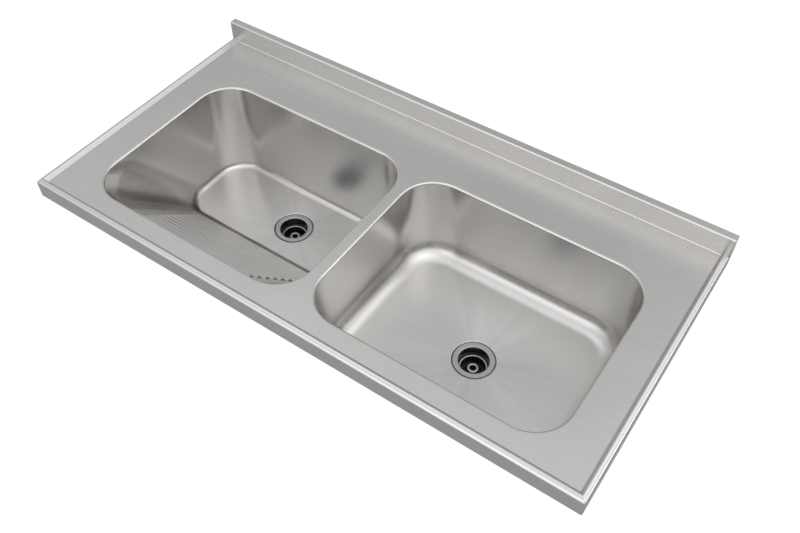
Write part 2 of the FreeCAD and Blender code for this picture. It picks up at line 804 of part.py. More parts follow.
def strainer_basket(label, drain):
    body = drain_piece(label, drain)
    rim_foot = d.seat_gap - d.ledge_depth
    rim_head = rim_foot + d.basket_rim_thickness
    bowl_inside = d.basket_radius - d.basket_wall
    bore = d.stem_radius + d.stem_running_gap
    collar = bore + d.basket_collar_wall
    collar_head = basket_foot + d.basket_collar_height
    revolve(body, f"{label}_turn", [
        (d.basket_rim_radius, rim_foot),
        (d.basket_rim_radius, rim_head),
        (bowl_inside, rim_head),
        (bowl_inside, basket_foot + d.basket_wall),
        (collar, basket_foot + d.basket_wall),
        (collar, collar_head),
        (bore, collar_head),
        (bore, basket_foot),
        (d.basket_radius, basket_foot),
        (d.basket_radius, rim_foot),
    ])
    slot_outline = new_sketch(body, f"{label}_slot_outline", "XZ_Plane", bowl_inside - d.basket_wall)
    slot_foot = basket_foot + d.basket_slot_lift
    slot_side = d.basket_slot_width / 2
    rectangle(slot_outline, -slot_side, slot_side, slot_foot, slot_foot + d.basket_slot_height)
    slot = pocket(body, f"{label}_slot", slot_outline, d.basket_wall * 3, backwards=True)
    around(body, f"{label}_slots", slot, d.basket_slot_count)
    hole_outline = new_sketch(body, f"{label}_hole_outline", "XY_Plane", basket_foot)
    circle(hole_outline, d.basket_hole_circle, 0, d.basket_hole_radius)
    hole = pocket(body, f"{label}_hole", hole_outline, d.basket_wall * 2, backwards=True)
    around(body, f"{label}_holes", hole, d.basket_slot_count)


def stopper_stem(label, drain):
    body = drain_piece(label, drain)
    stem_head = basket_foot + d.stem_rise
    bore_foot = stem_head - d.stem_bore_depth
    revolve(body, f"{label}_turn", [
        (0, bore_foot),
        (d.stem_bore, bore_foot),
        (d.stem_bore, stem_head),
        (d.stem_radius, stem_head),
        (d.stem_radius, plate_head),
        (d.plate_radius, plate_head),
        (d.plate_radius, seal_head),
        (d.hub_radius, seal_head),
        (d.hub_radius, seal_foot),
        (d.button_radius, seal_foot),
        (d.button_radius, seal_foot - d.button_thickness),
        (0, seal_foot - d.button_thickness),
    ])


def stopper_seal(label, drain):
    body = drain_piece(label, drain)

    def seal_radius(height):
        narrowing = (d.sump_radius - d.spigot_bore) / d.funnel_height
        return d.sump_radius + (height + d.funnel_depth) * narrowing - d.seat_gap

    revolve(body, f"{label}_turn", [
        (d.hub_radius, seal_foot),
        (seal_radius(seal_foot), seal_foot),
        (seal_radius(seal_head), seal_head),
        (d.hub_radius, seal_head),
    ])


# The sink
worktop_sheet()
upstand_end_cap("upstand_end_cap_left", -half_length)
upstand_end_cap("upstand_end_cap_right", half_length - d.sheet)
laundry_tub()
sink_bowl()
cross_rail("front_rail", front_rail_front, front_rail_back)
cross_rail("rear_rail", rear_rail_back, rear_rail_front)
end_rail("left_rail", -end_rail_outside, -end_rail_inside)
end_rail("right_rail", end_rail_outside, end_rail_inside)
centre_rail()
damping_pads("tub_damping_pads", tub_drain, tub_floor)
damping_pads("bowl_damping_pads", bowl_drain, bowl_floor)
for basin_name, drain in (("tub", tub_drain), ("bowl", bowl_drain)):
    drain_flange_ring(f"{basin_name}_drain_flange_ring", drain)
    drain_top_gasket(f"{basin_name}_drain_top_gasket", drain)
    drain_cup(f"{basin_name}_drain_cup", drain)
    drain_under_gasket(f"{basin_name}_drain_under_gasket", drain)
    drain_lock_nut(f"{basin_name}_drain_lock_nut", drain)
    strainer_basket(f"{basin_name}_strainer_basket", drain)
    stopper_stem(f"{basin_name}_stopper_stem", drain)
    stopper_seal(f"{basin_name}_stopper_seal", drain)
doc.recompute()

# Checks and files
failed = [item.Label for item in doc.Objects if {"Invalid", "Error"} & set(item.State)]
failed += [item.Label for item in nodes if item.Shape.isNull() or not item.Shape.isValid()]
if failed:
    raise RuntimeError(f"failed pieces: {failed}")
os.makedirs("parts", exist_ok=True)
for item in nodes:
    item.Shape.exportStep(f"parts/{item.Label}.step")
    print(item.Label, len(item.Shape.Solids), round(item.Shape.Volume), item.Shape.BoundBox)
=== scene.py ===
# %% [markdown]
# # A steel laundry sink with a washboard tub and a bowl
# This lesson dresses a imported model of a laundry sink: a folded steel top with a drip rim and an
# upstand, a deep tub with a sloping washboard, a plain bowl, and two drains with lift-out baskets.
# The frame gives every piece its place, in metres, so each piece is modelled where it belongs.

# %% Load the frame
import json
import math

import bmesh
import bpy
from mathutils import Matrix, Vector


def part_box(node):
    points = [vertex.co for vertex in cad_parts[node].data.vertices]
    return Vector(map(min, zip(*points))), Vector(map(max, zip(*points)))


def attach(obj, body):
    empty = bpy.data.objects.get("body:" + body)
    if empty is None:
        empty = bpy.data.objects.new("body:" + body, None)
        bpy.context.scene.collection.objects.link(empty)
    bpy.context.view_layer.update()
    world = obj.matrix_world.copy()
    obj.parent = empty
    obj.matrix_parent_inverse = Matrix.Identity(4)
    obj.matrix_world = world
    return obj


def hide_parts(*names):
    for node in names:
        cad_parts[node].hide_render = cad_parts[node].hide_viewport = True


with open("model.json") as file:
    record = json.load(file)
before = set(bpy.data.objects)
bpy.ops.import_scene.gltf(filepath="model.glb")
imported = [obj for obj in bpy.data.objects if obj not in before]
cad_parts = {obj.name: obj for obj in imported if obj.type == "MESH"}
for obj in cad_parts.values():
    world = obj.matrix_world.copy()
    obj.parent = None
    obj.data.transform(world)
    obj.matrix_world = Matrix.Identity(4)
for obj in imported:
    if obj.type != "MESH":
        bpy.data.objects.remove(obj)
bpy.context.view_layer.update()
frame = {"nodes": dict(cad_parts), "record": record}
MM = 0.001

# %% [markdown]
# ## Camera
# The photograph looks down on the sink from its front right corner. The camera's place was worked out
# from the corners of the top, whose length and depth are known. The lens follows from the same fit, so
# no shift is needed.

# %% Camera
EYE = Vector((0.6892, -0.9108, 1.2266))
LOOK_AT = Vector((0.1184, -0.0781, 0.042))
LENS = 38.88
camera_data = bpy.data.cameras.new("camera")
camera_data.lens = LENS
camera_data.sensor_width = 36.0
camera = bpy.data.objects.new("camera", camera_data)
camera.location = EYE
camera.rotation_euler = (LOOK_AT - EYE).to_track_quat("-Z", "Y").to_euler()
bpy.context.scene.collection.objects.link(camera)
bpy.context.scene.camera = camera
bpy.context.scene.view_settings.view_transform = "Standard"
print("camera", round((LOOK_AT - EYE).length, 3), "m from the sink")

# %% [markdown]
# ## Shader helpers
# Every finish below is a small tree of nodes. It could be drawn by hand in the editor, but a script can be
# read and run again. These helpers add a node, join sockets and set values, so that the finishes
# themselves stay short enough to read.

# %% Shader helpers
NOISE_LOW = 0.3
NOISE_HIGH = 0.7


class Shader:
    """A node tree that grows by short calls."""

    def __init__(self, tree):
        self.tree = tree

    def add(self, kind, sockets=None, **settings):
        node = self.tree.nodes.new(kind)
        for name, value in settings.items():
            setattr(node, name, value)
        for socket, value in (sockets or {}).items():
            self.feed(node.inputs[socket], value)
        return node

    def feed(self, socket, value):
        if isinstance(value, bpy.types.NodeSocket):
            self.tree.links.new(value, socket)
        else:
            socket.default_value = value

    def operate(self, kind, operation, values):
        node = self.add(kind, operation=operation)
        for number, value in enumerate(values):
            self.feed(node.inputs[number], value)
        return node

    def math(self, operation, *values):
        return self.operate("ShaderNodeMath", operation, values).outputs[0]

    def vector(self, operation, *values):
        return self.operate("ShaderNodeVectorMath", operation, values).outputs["Vector"]

    def measure(self, operation, *values):
        """A number worked out from vectors, such as a length or a dot product."""
        return self.operate("ShaderNodeVectorMath", operation, values).outputs["Value"]

    def split(self, vector):
        return self.add("ShaderNodeSeparateXYZ", {"Vector": vector}).outputs

    def join(self, x, y, z):
        return self.add("ShaderNodeCombineXYZ", {"X": x, "Y": y, "Z": z}).outputs[0]

    def blend(self, factor, first, second):
        node = self.add("ShaderNodeMix", data_type="VECTOR")
        self.feed(node.inputs[0], factor)
        self.feed(node.inputs[4], first)
        self.feed(node.inputs[5], second)
        return node.outputs[1]

    def step(self, value, low, high, new_low=0.0, new_high=1.0, smooth=True):
        node = self.add("ShaderNodeMapRange", interpolation_type="SMOOTHSTEP" if smooth else "LINEAR")
        for number, item in enumerate((value, low, high, new_low, new_high)):
            self.feed(node.inputs[number], item)
        return node.outputs[0]

    def spread(self, noise, low, high, smooth=False):
        """Stretches the part of a noise where nearly all of it lies to a range."""
        return self.step(noise, NOISE_LOW, NOISE_HIGH, low, high, smooth=smooth)

    def noise(self, place, scale, detail=3.0, roughness=0.5):
        sockets = {"Vector": place, "Scale": scale, "Detail": detail, "Roughness": roughness}
        return self.add("ShaderNodeTexNoise", sockets).outputs["Fac"]

    def shade(self, grey, tint):
        """A colour: a grey that may vary, times a tint."""
        return self.vector("MULTIPLY", self.join(grey, grey, grey), tint)


def new_finish(name):
    finish = bpy.data.materials.new(name)
    finish.use_nodes = True
    shader = Shader(finish.node_tree)
    return finish, shader, finish.node_tree.nodes["Principled BSDF"]


def place_on_piece(shader):
    return shader.add("ShaderNodeTexCoord").outputs["Object"]


def facing(shader):
    return shader.add("ShaderNodeNewGeometry").outputs["Normal"]


# %% [markdown]
# ## Brushed steel
# The sheet is stainless steel, rubbed along its length before it was folded. The fine grooves blur a
# reflection across the brushing and leave it sharp along it, so the shader is anisotropic and is told
# which way the blur runs. On the top the grooves run along the sink. A noise that is drawn out along the
# grooves varies the grey and the roughness by a hair. A picture of brushed steel could be wrapped round
# the sheet instead, but it would need seams and would stretch at the bends.

# %% Brushed steel
STEEL_GREY = 0.60
STEEL_TINT = (1.0, 0.979, 0.957)
GRAIN_LENGTH = 1.2
GRAIN_FINENESS = 420.0
GRAIN_DETAIL = 3.0
GRAIN_CRISPNESS = 0.55
CLOUD_SCALE = 7.0
CLOUD_DETAIL = 2.0
CLOUD_SHADE = 0.02


def brushed(name, grooves, roughness, blur, contrast):
    """Steel whose grain, blur direction, painted shading and extra roughness come from a function of the
    shader.
    """
    finish, shader, steel = new_finish(name)
    place = place_on_piece(shader)
    grain_place, blur_direction, shade, extra = grooves(shader, place, facing(shader))
    grain = shader.noise(grain_place, 1.0, GRAIN_DETAIL, GRAIN_CRISPNESS)
    clouds = shader.noise(place, CLOUD_SCALE, CLOUD_DETAIL)
    grey = shader.spread(grain, STEEL_GREY * (1 - contrast), STEEL_GREY * (1 + contrast))
    cloud_shade = shader.spread(clouds, 1 - CLOUD_SHADE, 1 + CLOUD_SHADE, smooth=True)
    grey = shader.math("MULTIPLY", grey, cloud_shade)
    # Painted light and shade from the grooves' function; on the top it is 1
    grey = shader.math("MULTIPLY", grey, shade)
    shader.feed(steel.inputs["Base Color"], shader.shade(grey, STEEL_TINT))
    rough = shader.spread(grain, roughness - contrast, roughness + contrast, smooth=True)
    shader.feed(steel.inputs["Roughness"], shader.math("ADD", rough, extra))
    steel.inputs["Metallic"].default_value = 1.0
    steel.inputs["Anisotropic"].default_value = blur
    shader.feed(steel.inputs["Tangent"], blur_direction)
    return finish


def along_sheet(shader, place, normal):
    """Grooves along the sink, which fold with the sheet."""
    grain_place = shader.vector("MULTIPLY", place, (GRAIN_LENGTH, GRAIN_FINENESS, GRAIN_FINENESS))
    lean = shader.math("ABSOLUTE", shader.split(normal)["Y"])
    return grain_place, shader.blend(lean, (0.0, 1.0, 0.0), (0.0, 0.0, 1.0)), 1.0, 0.0


TOP_ROUGHNESS = 0.28
TOP_BLUR = 0.7
TOP_CONTRAST = 0.012
top_steel = brushed("brushed_top", along_sheet, TOP_ROUGHNESS, TOP_BLUR, TOP_CONTRAST)
print("finish", top_steel.name)

# %% [markdown]
# ## Brushed steel in the basins
# In the basins the grooves run level round the walls and in circles round the drain on the floor, which
# gives the floor its fan of light; paler and darker rays of that fan are also painted into the floor's
# grey.
# The floors are a little duller than the walls. The washboard is duller still, and its grey is painted
# paler as painted light. The plain strip at its foot has a dark band of painted shade. Each of these places
# could have a finish of its own, but their edges would show. So one finish tells them apart by the way they
# face and by their height.

# %% Brushed steel in the basins
WALL_ROUGHNESS = 0.26
BASIN_FLOOR_ROUGHNESS = 0.3
BOARD_ROUGHNESS = 0.45
# Painted light: how much paler the washboard's grey is made
BOARD_PAINTED_LIGHT = 1.12
# Painted shade: how dark the plain strip at the washboard's foot is made
PAINTED_CREASE_SHADE = 0.5
CREASE_HEIGHT = 14 * MM
CREASE_FADE = 4 * MM
FAN_SCALE = 4.0
FAN_DETAIL = 3.0
FAN_CRISPNESS = 0.6
# Painted light and shade: how much paler and darker the floor's rays are
PAINTED_FAN_SHADE = 0.05
FAN_NEAR = 50 * MM
FAN_FAR = 250 * MM
FAN_REST = 0.4
BASIN_BLUR = 0.5
BASIN_CONTRAST = 0.005
SHEET_AND_DISH = 5 * MM
# How far a normal points up on a floor, back on the washboard and its crease, and sideways on a cone
FACING_UP = (0.75, 0.97)
FACING_BACK = (0.2, 0.4)
FACING_BACK_LOW = (0.15, 0.35)
FACING_SIDEWAYS = (0.1, 0.3)


def painted_fan_of_light(shader, spoke, reach, level):
    """Painted rays of reflected light and shade in the floor's grey, which fade away from the drain."""
    rays = shader.noise(spoke, FAN_SCALE, FAN_DETAIL, FAN_CRISPNESS)
    rays = shader.spread(rays, 1 - PAINTED_FAN_SHADE, 1 + PAINTED_FAN_SHADE, smooth=True)
    fade = shader.math("MULTIPLY", level, shader.step(reach, FAN_NEAR, FAN_FAR, 1.0, FAN_REST))
    return shader.step(fade, 0.0, 1.0, 1.0, rays, smooth=False)


def washboard_shares(shader, place, normal, floor):
    """How far a place lies on the foot strip painted dark as shade, and on the washboard above it."""
    sideways = shader.math("ABSOLUTE", shader.split(normal)["X"])
    back = shader.split(normal)["Y"]
    head = floor + CREASE_HEIGHT
    low = shader.step(shader.split(place)["Z"], head, head + CREASE_FADE, 1.0, 0.0)
    crease = shader.math("MULTIPLY", low, shader.step(back, *FACING_BACK_LOW))
    off_cone = shader.step(sideways, *FACING_SIDEWAYS, 1.0, 0.0)
    board = shader.math("MULTIPLY", shader.step(back, *FACING_BACK), off_cone)
    return crease, shader.math("MULTIPLY", board, shader.math("SUBTRACT", 1.0, crease))


def round_drain(drain, floor, has_board):
    """Grooves level round a basin's walls and in circles round the drain on its floor."""

    def grooves(shader, place, normal):
        spoke = shader.vector("SUBTRACT", place, (drain.x, drain.y, 0.0))
        spoke = shader.vector("MULTIPLY", spoke, (1.0, 1.0, 0.0))
        reach = shader.measure("LENGTH", spoke)
        spoke = shader.vector("NORMALIZE", spoke)
        turn = shader.split(spoke)
        ring_place = shader.join(shader.math("MULTIPLY", reach, GRAIN_FINENESS), turn["X"], turn["Y"])
        wall_place = shader.vector("MULTIPLY", place, (GRAIN_LENGTH, GRAIN_LENGTH, GRAIN_FINENESS))
        level = shader.step(shader.split(normal)["Z"], *FACING_UP)
        # Painted light and shade: paler and darker rays in the floor's grey
        shade = painted_fan_of_light(shader, spoke, reach, level)
        extra = shader.step(level, 0.0, 1.0, 0.0, BASIN_FLOOR_ROUGHNESS - WALL_ROUGHNESS)
        if has_board:
            crease, board = washboard_shares(shader, place, normal, floor)
            # Painted shade: a dark band on the plain strip at the washboard's foot
            shade = shader.math("MULTIPLY", shade, shader.step(crease, 0.0, 1.0, 1.0, PAINTED_CREASE_SHADE))
            # Painted light: the washboard's grey is made paler
            shade = shader.math("MULTIPLY", shade, shader.step(board, 0.0, 1.0, 1.0, BOARD_PAINTED_LIGHT))
            board_extra = shader.math("MULTIPLY", board, BOARD_ROUGHNESS - WALL_ROUGHNESS)
            extra = shader.math("MAXIMUM", extra, board_extra)
        grain_place = shader.blend(level, wall_place, ring_place)
        return grain_place, shader.blend(level, (0.0, 0.0, 1.0), spoke), shade, extra

    return grooves


def drain_centre(name):
    low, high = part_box(f"{name}_drain_cup")
    return Vector(((low.x + high.x) / 2, (low.y + high.y) / 2))


BASINS = {"tub": "laundry_tub", "bowl": "sink_bowl"}
drains = {name: drain_centre(name) for name in BASINS}
basin_steel = {}
for name, node in BASINS.items():
    grooves = round_drain(drains[name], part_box(node)[0].z + SHEET_AND_DISH, name == "tub")
    basin_steel[name] = brushed(f"brushed_{name}", grooves, WALL_ROUGHNESS, BASIN_BLUR, BASIN_CONTRAST)
print("drains at", {name: [round(v, 3) for v in centre] for name, centre in drains.items()})

# %% [markdown]
# ## Plainer finishes
# The drain ring and the basket's rim are satin steel, darker than the sheet and with a very fine grain.
# The cup and the post are black moulded plastic, the nuts grey plastic, the gaskets and seals rubber, and
# the damping pads matt bitumen. A single colour would do from afar, but up close it looks like wax, so one
# function makes all of these from a fine noise. The rails are galvanised, so cells of different greys
# stand for the flakes of zinc.

# %% Plainer finishes
SPOT_DETAIL = 4.0
SPOT_CRISPNESS = 0.6
BUMP_STRENGTH = 0.5
FLAKES_PER_METRE = 140.0
ZINC_GREY = (0.42, 0.62)
ZINC_TINT = (0.97, 1.0, 1.02)
ZINC_ROUGHNESS = (0.38, 0.6)


def mottled(name, colour, roughness, spread, scale, depth=0.0, metallic=0.0):
    """A finish whose grey and roughness wander a little, with an optional fine bump."""
    finish, shader, surface = new_finish(name)
    spots = shader.noise(place_on_piece(shader), scale, SPOT_DETAIL, SPOT_CRISPNESS)
    grey = shader.spread(spots, 1.0 - spread, 1.0 + spread)
    shader.feed(surface.inputs["Base Color"], shader.shade(grey, colour))
    rough = shader.spread(spots, roughness * (1.0 - spread), roughness * (1.0 + spread))
    shader.feed(surface.inputs["Roughness"], rough)
    surface.inputs["Metallic"].default_value = metallic
    if depth:
        bump = shader.add("ShaderNodeBump", {"Height": spots, "Distance": depth, "Strength": BUMP_STRENGTH})
        shader.feed(surface.inputs["Normal"], bump.outputs[0])
    return finish


def galvanised():
    finish, shader, zinc = new_finish("galvanised_zinc")
    place = place_on_piece(shader)
    cells = shader.add("ShaderNodeTexVoronoi", {"Vector": place, "Scale": FLAKES_PER_METRE})
    flake = shader.split(cells.outputs["Color"])["X"]
    grey = shader.step(flake, 0.0, 1.0, *ZINC_GREY)
    shader.feed(zinc.inputs["Base Color"], shader.shade(grey, ZINC_TINT))
    shader.feed(zinc.inputs["Roughness"], shader.step(flake, 0.0, 1.0, *ZINC_ROUGHNESS, smooth=False))
    zinc.inputs["Metallic"].default_value = 1.0
    return finish


finishes = {
    "drain_steel": mottled("satin_drain_steel", (0.395, 0.405, 0.425), 0.42, 0.06, 900.0, metallic=1.0),
    "black_plastic": mottled("black_plastic", (0.012, 0.012, 0.013), 0.24, 0.15, 400.0, 0.00002),
    "grey_plastic": mottled("grey_plastic", (0.33, 0.33, 0.32), 0.5, 0.08, 500.0, 0.00003),
    "rubber": mottled("black_rubber", (0.03, 0.03, 0.03), 0.7, 0.15, 700.0, 0.00003),
    "damping_felt": mottled("bitumen_pad", (0.035, 0.034, 0.033), 0.85, 0.3, 350.0, 0.0004),
    "galvanised_steel": galvanised(),
}
print("finishes", sorted(finishes))

# %% [markdown]
# ## Modelling helpers
# Sheet metal is drawn as a folded line: a few corners, each with its bend radius. A bevel could round the
# folds afterwards, but each fold of this sink has a radius of its own. The first helper replaces a corner
# by an arc, and keeps a short straight step on each side of it, so that smooth shading stays in the bend
# and the flat faces stay flat. The skin extrudes a wire of points from level to level, as a press draws a
# sheet down, and the lathe turns round pieces.

# %% Modelling helpers
HOLD = 0.4 * MM
SMALL_HOLD = 0.05 * MM
BEND_STEPS = 6
SHARP_ANGLE = 35.0
TURNS = 96


def bent_line(corners, steps=BEND_STEPS, hold=HOLD):
    """Points along a folded line of (a, b, bend radius) corners. A corner without a radius stays sharp."""
    points = [Vector(corners[0][:2])]
    for before, corner, after in zip(corners, corners[1:], corners[2:]):
        here = Vector(corner[:2])
        if len(corner) == 2:
            points.append(here)
            continue
        come = (here - Vector(before[:2])).normalized()
        go = (Vector(after[:2]) - here).normalized()
        turn = come.angle_signed(go)
        tangent = corner[2] * math.tan(abs(turn) / 2)
        start = here - come * tangent
        centre = start + Vector((-come.y, come.x)) * math.copysign(corner[2], -turn)
        points.append(start - come * hold)
        for step in range(steps + 1):
            spoke = start - centre
            spoke.rotate(Matrix.Rotation(-turn * step / steps, 2))
            points.append(centre + spoke)
        points.append(here + go * (tangent + hold))
    points.append(Vector(corners[-1][:2]))
    return points


def in_mm(corners):
    return [tuple(value * MM for value in corner) for corner in corners]


def draw_wire(shape, places, closed):
    points = [shape.verts.new(place) for place in places]
    ends = points[1:] + points[:1] if closed else points[1:]
    return points, [shape.edges.new(pair) for pair in zip(points, ends)]


def skin(shape, levels, closed):
    """Extrudes a wire of points through levels of places, and returns the faces of each strip."""
    points, edges = draw_wire(shape, levels[0], closed)
    strips = []
    for places in levels[1:]:
        made = bmesh.ops.extrude_edge_only(shape, edges=edges)["geom"]
        fresh = {item for item in made if isinstance(item, bmesh.types.BMVert)}
        points = [next(e.other_vert(p) for e in p.link_edges if e.other_vert(p) in fresh) for p in points]
        drawn = [item for item in made if isinstance(item, bmesh.types.BMEdge)]
        edges = [edge for edge in drawn if fresh.issuperset(edge.verts)]
        strips.append([item for item in made if isinstance(item, bmesh.types.BMFace)])
        for point, place in zip(points, places):
            point.co = place
    return strips


def face_up(shape, face):
    """Makes all normals agree, with the given face looking up."""
    bmesh.ops.recalc_face_normals(shape, faces=shape.faces)
    if face.normal.z < 0:
        bmesh.ops.reverse_faces(shape, faces=shape.faces)


def new_piece(name, shape, finish_list, body, thickness=0.0):
    """Turns a bmesh into the object that stands for the CAD node of its name and rides on a body."""
    mesh = bpy.data.meshes.new(name)
    for edge in shape.edges:
        edge.smooth = edge.is_manifold and edge.calc_face_angle() < math.radians(SHARP_ANGLE)
    for face in shape.faces:
        face.smooth = True
    shape.to_mesh(mesh)
    shape.free()
    for finish in finish_list:
        mesh.materials.append(finish)
    piece = bpy.data.objects.new(name + "_skin", mesh)
    bpy.context.scene.collection.objects.link(piece)
    if thickness:
        sheet = piece.modifiers.new("sheet", "SOLIDIFY")
        sheet.thickness = thickness
        sheet.offset = -1.0
    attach(piece, body)
    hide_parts(name)
    print(name, len(mesh.polygons), "faces")


def turned(line, centre, first_angle=0.0):
    """A bmesh of a (radius, height) line spun about an upright axis."""
    shape = bmesh.new()
    places = [Vector((p.x, 0, p.y)) for p in line]
    points, edges = draw_wire(shape, places, closed=False)
    bmesh.ops.rotate(shape, verts=points, cent=(0, 0, 0), matrix=Matrix.Rotation(first_angle, 3, "Z"))
    bmesh.ops.spin(
        shape,
        geom=points + edges,
        axis=(0, 0, 1),
        cent=(0, 0, 0),
        angle=math.tau,
        steps=TURNS,
        use_merge=True,
    )
    bmesh.ops.remove_doubles(shape, verts=shape.verts, dist=0.001 * MM)
    bmesh.ops.recalc_face_normals(shape, faces=shape.faces)
    bmesh.ops.translate(shape, verts=shape.verts, vec=centre)
    return shape


slots = {row["node"]: row["material_slot"] for row in frame["record"]["subparts"]}
print("slots", sorted(set(slots.values())))

# %% [markdown]
# ## Basins
# A basin is pressed from one sheet: a flange let into the deck, a small bend at the lip, walls that
# lean in a little, a foot bend into the floor, and a dish round the drain's hole. A bevelled box could
# stand for it, but its corners would be the same from the lip to the floor. So each level is drawn for
# itself, as a rectangle with round corners. The floor falls a little to the drain.

# %% Outlines of the basins
SHEET = 1.0 * MM
WELD_FLANGE = 8 * MM
LIP_BEND = 4 * MM
OPENING_CORNER = 75 * MM
CORNER_STEPS = 12
LONG_CUTS = 40
SHORT_CUTS = 24


def arc_points(x, y, radius, first_angle):
    angles = [first_angle + 0.5 * math.pi * step / CORNER_STEPS for step in range(CORNER_STEPS + 1)]
    return [Vector((x + radius * math.cos(angle), y + radius * math.sin(angle))) for angle in angles]


class Outline:
    """A rectangle with round corners, seen from above."""

    def __init__(self, left, right, front, back, front_radius, back_radius):
        self.left, self.right, self.front, self.back = left, right, front, back
        self.front_radius, self.back_radius = front_radius, back_radius

    def sides(self):
        return Vector((self.left, self.right, self.front, self.back, self.front_radius, self.back_radius))

    def inset(self, amount):
        return Outline(*(self.sides() + amount * Vector((1, -1, 1, -1, -1, -1))))

    def mixed(self, other, share):
        return Outline(*self.sides().lerp(other.sides(), share))

    def places(self):
        """Points along the outline, closer together near the ends of the front side."""
        near, far = self.front_radius, self.back_radius
        arcs = [
            arc_points(self.left + near, self.front + near, near, math.pi),
            arc_points(self.right - near, self.front + near, near, 1.5 * math.pi),
            arc_points(self.right - far, self.back - far, far, 0.0),
            arc_points(self.left + far, self.back - far, far, 0.5 * math.pi),
        ]
        places = []
        for number, cuts in enumerate((LONG_CUTS, SHORT_CUTS, LONG_CUTS, SHORT_CUTS)):
            first, last = arcs[number][-1], arcs[(number + 1) % 4][0]
            places += arcs[number]
            for cut in range(1, cuts + 1):
                share = cut / (cuts + 1)
                if number == 0:
                    share = 0.5 - 0.5 * math.cos(math.pi * share)
                places.append(first.lerp(last, share))
        return places

    def level(self, height, front_height):
        """The same points in space. The front may lie at another height, which its corners run to."""
        level = []
        for place in self.places():
            forward = (self.front + self.front_radius - place.y) / self.front_radius
            share = max(0.0, min(1.0, forward)) ** 2
            level.append(Vector((place.x, place.y, height + (front_height - height) * share)))
        return level


def opening_of(node):
    """A basin's opening, with the heights of the deck and of the basin's floor."""
    low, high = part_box(node)
    edge = WELD_FLANGE + OPENING_CORNER
    flange = Outline(low.x, high.x, low.y, high.y, edge, edge)
    return flange.inset(WELD_FLANGE), high.z, low.z + SHEET + DISH_DEPTH


def lip_levels(opening, deck):
    """Levels from the flange's edge over the lip bend."""
    line = bent_line([(-WELD_FLANGE, deck), (0, deck, LIP_BEND), (0, deck - 3 * LIP_BEND)])
    return [opening.inset(p.x).level(p.y, p.y) for p in line[:-1]]


# %% Dish round a drain
DISH_DEPTH = 4 * MM
DISH_RADIUS = 42 * MM
DISH_SPREAD = 2.4 * MM
DISH_BEND = 1.5 * MM
DISH_STEPS = 4
DRAIN_HOLE = 35 * MM


def dish_levels(last_level, drain, seat):
    """Rings round the drain, each point straight between the drain and the floor's last level."""
    floor = seat + DISH_DEPTH
    edge = DISH_RADIUS + DISH_SPREAD
    corners = [
        (2 * edge, floor),
        (edge, floor, DISH_BEND),
        (DISH_RADIUS, seat, DISH_BEND),
        (DRAIN_HOLE, seat),
    ]
    spokes = [Vector((p.x - drain.x, p.y - drain.y, 0)).normalized() for p in last_level]
    levels = []
    for reach, height in bent_line(corners, DISH_STEPS)[1:]:
        centre = Vector((drain.x, drain.y, height))
        levels.append([centre + spoke * reach for spoke in spokes])
    return levels


def make_basin(name, node, levels):
    """The sheet through all levels. Its flange shares the finish of the deck that it is welded into."""
    shape = bmesh.new()
    seat = opening_of(node)[2] - DISH_DEPTH
    strips = skin(shape, levels + dish_levels(levels[-1], drains[name], seat), closed=True)
    for face in strips[0] + strips[1]:
        face.material_index = 1
    face_up(shape, strips[-1][0])
    new_piece(node, shape, [basin_steel[name], top_steel], "sink", thickness=SHEET)


for node in BASINS.values():
    opening, deck, floor = opening_of(node)
    lengths = (opening.right - opening.left, opening.back - opening.front, deck - floor)
    print(node, "length, width and depth in mm", [round(v / MM) for v in lengths])

# %% [markdown]
# ## The bowl
# The bowl is the plain basin, for rinsing and washing up. Its walls lean in on their way down, the front
# one most, and their corners open out. Each wall could have a line of its own, but one folded line from
# the lip to the floor gives every level its height and its inset, and keeps the foot even all round.

# %% The bowl
BOWL_DRAFT = 4 * MM
BOWL_FRONT_DRAFT = 18 * MM
BOWL_FLOOR_CORNER = 92 * MM
BOWL_FOOT = 38 * MM
BOWL_FOOT_STEPS = 16
BOWL_FALL = 7 * MM


def bowl_levels():
    opening, deck, floor = opening_of("sink_bowl")
    floor += BOWL_FALL
    start = deck - LIP_BEND
    foot = opening.inset(BOWL_DRAFT)
    foot.front = opening.front + BOWL_FRONT_DRAFT
    foot.front_radius = foot.back_radius = BOWL_FLOOR_CORNER
    levels = lip_levels(opening, deck)
    corners = [(0, start), (0, floor, BOWL_FOOT), (2 * BOWL_FOOT, floor)]
    for out, height in bent_line(corners, BOWL_FOOT_STEPS)[1:-1]:
        share = (start - height) / (start - floor)
        levels.append(opening.mixed(foot, share).inset(out).level(height, height))
    return levels


make_basin("bowl", "sink_bowl", bowl_levels())

# %% [markdown]
# ## The tub and its washboard
# The tub's front wall slopes to the floor as a washboard, and its front corners are cones that open
# towards the lip. The ridges could be rods laid on the slope, but they are pressed into the sheet, so they
# have to show on its underside as well. Each ridge is a round that stands out of the slope. The slope is
# cut into rows that follow those rounds, and the rows are pushed out along the slope's normal. A ridge
# dies away over a few millimetres where it meets a cone.

# %% Sizes of the tub
TUB_DRAFT = 4 * MM
TUB_FOOT = 14 * MM
TUB_FALL = 3 * MM
TUB_FLOOR_CORNER = 60 * MM
TUB_BACK_CORNER = 72 * MM
BAND_HEIGHT = 24 * MM
BAND_DRAFT = 1 * MM
WASHBOARD_RUN = 207 * MM
WASHBOARD_CORNER = 115 * MM
RIDGE_COUNT = 12
RIDGE_PITCH = 22 * MM
RIDGE_FIRST = 14 * MM
RIDGE_RADIUS = 13 * MM
RIDGE_HEIGHT = 4 * MM
RIDGE_END = 4 * MM
RIDGE_STEPS = 12
TUB_FOOT_STEPS = 8
print("washboard of", RIDGE_COUNT, "ridges,", round(RIDGE_PITCH / MM), "mm apart")


